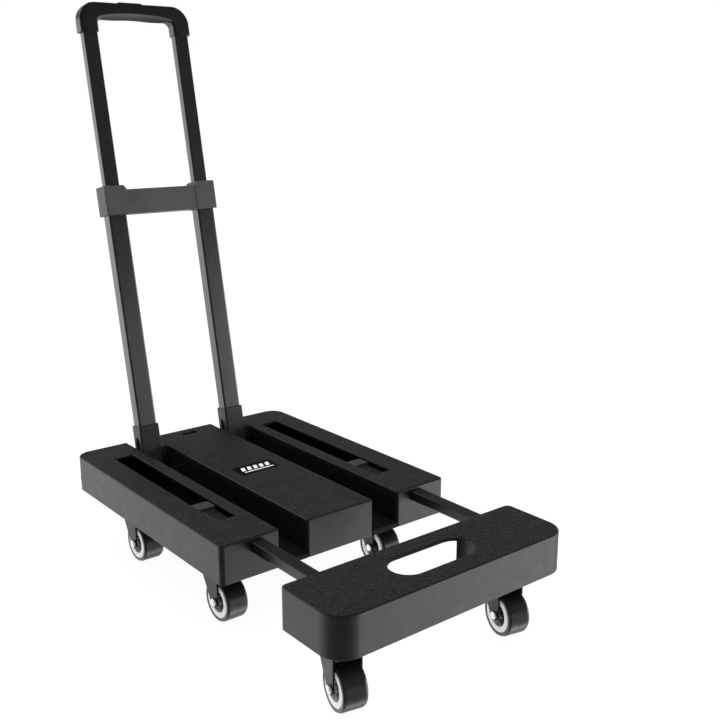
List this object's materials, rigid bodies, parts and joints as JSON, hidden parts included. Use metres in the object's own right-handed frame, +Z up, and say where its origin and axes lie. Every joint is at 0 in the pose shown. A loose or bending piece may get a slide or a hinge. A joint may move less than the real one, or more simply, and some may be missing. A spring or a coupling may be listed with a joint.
{
  "type": "folding platform cart",
  "caption": "Low platform cart with a grooved deck, pull-out front bar, leaning telescopic fold-down handle and swivel casters.",
  "frame": {"origin": "on the ground, at the middle of the footprint, as the cart stands on its wheels", "axes": "+Z up, +X to the right seen from the front bar, +Y towards the handle; the front bar points along -Y"},
  "size_m": [0.4, 0.8274, 0.8792],
  "materials": {
    "deck_plastic": "black ABS with a fine pebbled top and satin sides",
    "base_plastic": "black moulded plastic, matte",
    "rod_steel": "black powder-coated steel tube",
    "tube_metal": "black satin-coated rectangular tube",
    "joint_plastic": "dark grey moulded plastic, satin",
    "grip_plastic": "black soft-touch plastic",
    "button_plastic": "black moulded plastic",
    "hinge_steel": "black coated pressed steel",
    "caster_plastic": "black glossy moulded nylon",
    "wheel_ring": "white moulded wheel centre",
    "tyre": "dark rubber tread with a parting line",
    "axle_steel": "zinc-plated steel",
    "label": "black label plate with plain slanted white bars"
  },
  "bodies": {
    "deck": {"deck_base": "base_plastic", "left_deck_cover": "deck_plastic", "centre_deck_cover": "deck_plastic", "right_deck_cover": "deck_plastic", "label_plate": "label", "left_rod_guide": "base_plastic", "left_hinge_base": "hinge_steel", "left_hinge_pin": "axle_steel", "right_rod_guide": "base_plastic", "right_hinge_base": "hinge_steel", "right_hinge_pin": "axle_steel", "middle_left_caster_mount": "hinge_steel", "middle_right_caster_mount": "hinge_steel", "rear_left_caster_mount": "hinge_steel", "rear_right_caster_mount": "hinge_steel"},
    "front_bar": {"front_bar_shell": "deck_plastic", "front_bar_base": "base_plastic", "left_rod": "rod_steel", "left_rod_stop": "joint_plastic", "right_rod": "rod_steel", "right_rod_stop": "joint_plastic", "front_left_caster_mount": "hinge_steel", "front_right_caster_mount": "hinge_steel"},
    "handle": {"joint_front_cover": "joint_plastic", "joint_rear_cover": "joint_plastic", "left_handle_socket": "joint_plastic", "left_outer_tube": "tube_metal", "right_handle_socket": "joint_plastic", "right_outer_tube": "tube_metal"},
    "upper_handle": {"handle_grip": "grip_plastic", "left_inner_tube": "tube_metal", "left_inner_glide": "base_plastic", "right_inner_tube": "tube_metal", "right_inner_glide": "base_plastic"},
    "grip_button": {"grip_button": "button_plastic"},
    "front_left_caster": {"front_left_caster_fork": "caster_plastic", "front_left_axle": "axle_steel"},
    "front_left_wheel": {"front_left_wheel_rim": "wheel_ring", "front_left_wheel_tyre": "tyre"},
    "front_right_caster": {"front_right_caster_fork": "caster_plastic", "front_right_axle": "axle_steel"},
    "front_right_wheel": {"front_right_wheel_rim": "wheel_ring", "front_right_wheel_tyre": "tyre"},
    "middle_left_caster": {"middle_left_caster_fork": "caster_plastic", "middle_left_axle": "axle_steel"},
    "middle_left_wheel": {"middle_left_wheel_rim": "wheel_ring", "middle_left_wheel_tyre": "tyre"},
    "middle_right_caster": {"middle_right_caster_fork": "caster_plastic", "middle_right_axle": "axle_steel"},
    "middle_right_wheel": {"middle_right_wheel_rim": "wheel_ring", "middle_right_wheel_tyre": "tyre"},
    "rear_left_caster": {"rear_left_caster_fork": "caster_plastic", "rear_left_axle": "axle_steel"},
    "rear_left_wheel": {"rear_left_wheel_rim": "wheel_ring", "rear_left_wheel_tyre": "tyre"},
    "rear_right_caster": {"rear_right_caster_fork": "caster_plastic", "rear_right_axle": "axle_steel"},
    "rear_right_wheel": {"rear_right_wheel_rim": "wheel_ring", "rear_right_wheel_tyre": "tyre"}
  },
  "joints": [
    {"name": "front_bar_slide", "type": "slide", "parent": "deck", "child": "front_bar", "axis": [0, 1, 0], "range_m": [-0.05, 0.13]},
    {"name": "handle_fold", "type": "hinge", "parent": "deck", "child": "handle", "pos_m": [0, 0.2573, 0.129], "axis": [1, 0, 0], "range_deg": [0, 94]},
    {"name": "handle_telescope", "type": "slide", "parent": "handle", "child": "upper_handle", "axis": [0, 0.1908, 0.9816], "range_m": [-0.245, 0]},
    {"name": "button_press", "type": "slide", "parent": "upper_handle", "child": "grip_button", "axis": [0, 0.1908, 0.9816], "range_m": [-0.0035, 0], "stiffness_N_per_m": 500, "springref_m": 0.002},
    {"name": "front_left_swivel", "type": "hinge", "parent": "front_bar", "child": "front_left_caster", "pos_m": [-0.143, -0.3417, 0.09], "axis": [0, 0, 1], "continuous": true},
    {"name": "front_left_roll", "type": "hinge", "parent": "front_left_caster", "child": "front_left_wheel", "pos_m": [-0.14716, -0.36126, 0.031], "axis": [0.9781, -0.2079, 0], "continuous": true},
    {"name": "front_right_swivel", "type": "hinge", "parent": "front_bar", "child": "front_right_caster", "pos_m": [0.143, -0.3417, 0.09], "axis": [0, 0, 1], "continuous": true},
    {"name": "front_right_roll", "type": "hinge", "parent": "front_right_caster", "child": "front_right_wheel", "pos_m": [0.13884, -0.36126, 0.031], "axis": [0.9781, -0.2079, 0], "continuous": true},
    {"name": "middle_left_swivel", "type": "hinge", "parent": "deck", "child": "middle_left_caster", "pos_m": [-0.143, -0.0607, 0.09], "axis": [0, 0, 1], "continuous": true},
    {"name": "middle_left_roll", "type": "hinge", "parent": "middle_left_caster", "child": "middle_left_wheel", "pos_m": [-0.143, -0.0807, 0.031], "axis": [1, 0, 0], "continuous": true},
    {"name": "middle_right_swivel", "type": "hinge", "parent": "deck", "child": "middle_right_caster", "pos_m": [0.143, -0.0607, 0.09], "axis": [0, 0, 1], "continuous": true},
    {"name": "middle_right_roll", "type": "hinge", "parent": "middle_right_caster", "child": "middle_right_wheel", "pos_m": [0.143, -0.0807, 0.031], "axis": [1, 0, 0], "continuous": true},
    {"name": "rear_left_swivel", "type": "hinge", "parent": "deck", "child": "rear_left_caster", "pos_m": [-0.143, 0.1893, 0.09], "axis": [0, 0, 1], "continuous": true},
    {"name": "rear_left_roll", "type": "hinge", "parent": "rear_left_caster", "child": "rear_left_wheel", "pos_m": [-0.143, 0.1693, 0.031], "axis": [1, 0, 0], "continuous": true},
    {"name": "rear_right_swivel", "type": "hinge", "parent": "deck", "child": "rear_right_caster", "pos_m": [0.143, 0.1893, 0.09], "axis": [0, 0, 1], "continuous": true},
    {"name": "rear_right_roll", "type": "hinge", "parent": "rear_right_caster", "child": "rear_right_wheel", "pos_m": [0.143, 0.1693, 0.031], "axis": [1, 0, 0], "continuous": true}
  ]
}
